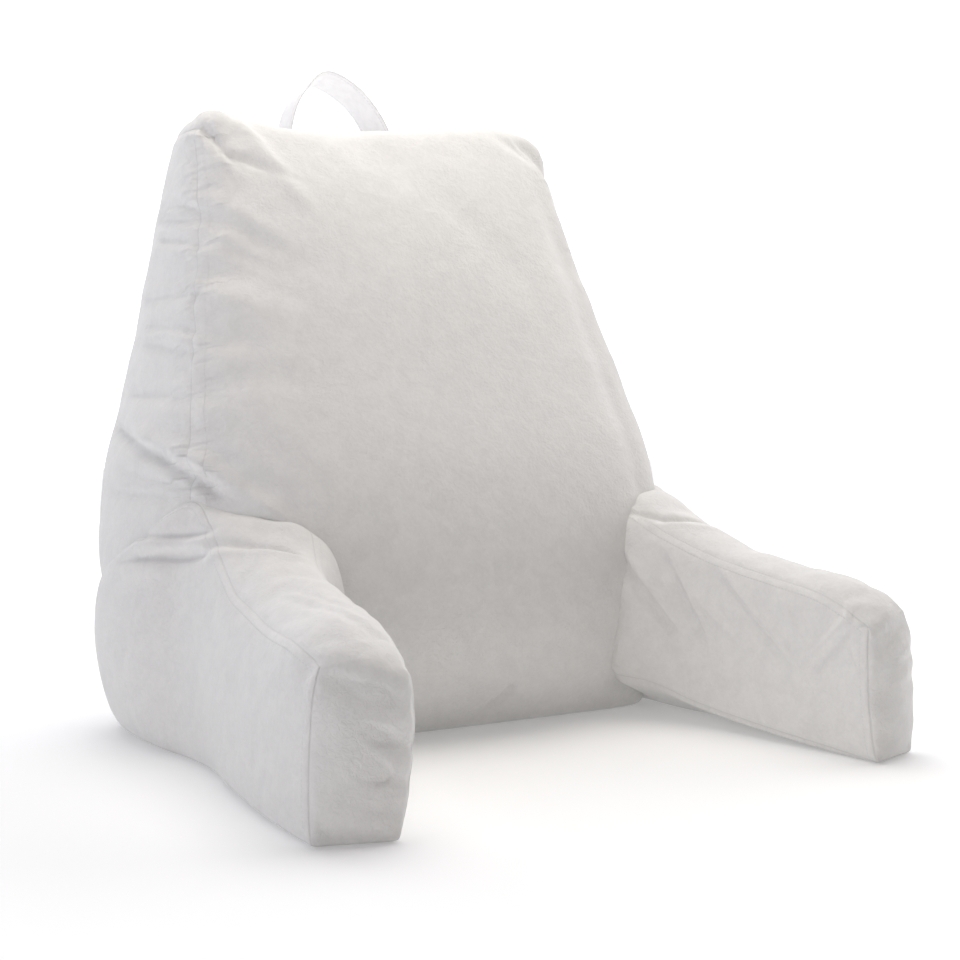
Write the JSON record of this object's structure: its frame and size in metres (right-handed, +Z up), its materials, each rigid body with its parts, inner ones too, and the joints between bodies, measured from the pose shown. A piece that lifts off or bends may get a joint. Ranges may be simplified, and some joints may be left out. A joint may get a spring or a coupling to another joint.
{
  "type": "reading pillow with arms",
  "caption": "Stuffed plush back-rest pillow: a wedge-shaped back cushion with forward arms sewn to its sides and a strap handle on the top rear seam.",
  "frame": {"origin": "on the floor, under the middle of the back cushion's flat base", "axes": "+Z up; the arms reach forwards along -Y; the sitter's left-hand view side, with the left arm, is at -X"},
  "size_m": [0.5222, 0.5373, 0.5768],
  "materials": {
    "plush": "short dense velour nap, white",
    "strap_cloth": "folded and stitched plain cloth, white"
  },
  "bodies": {
    "root": {"back_cushion": "plush", "arm_left": "plush", "arm_right": "plush", "carry_handle": "strap_cloth"}
  },
  "joints": []
}
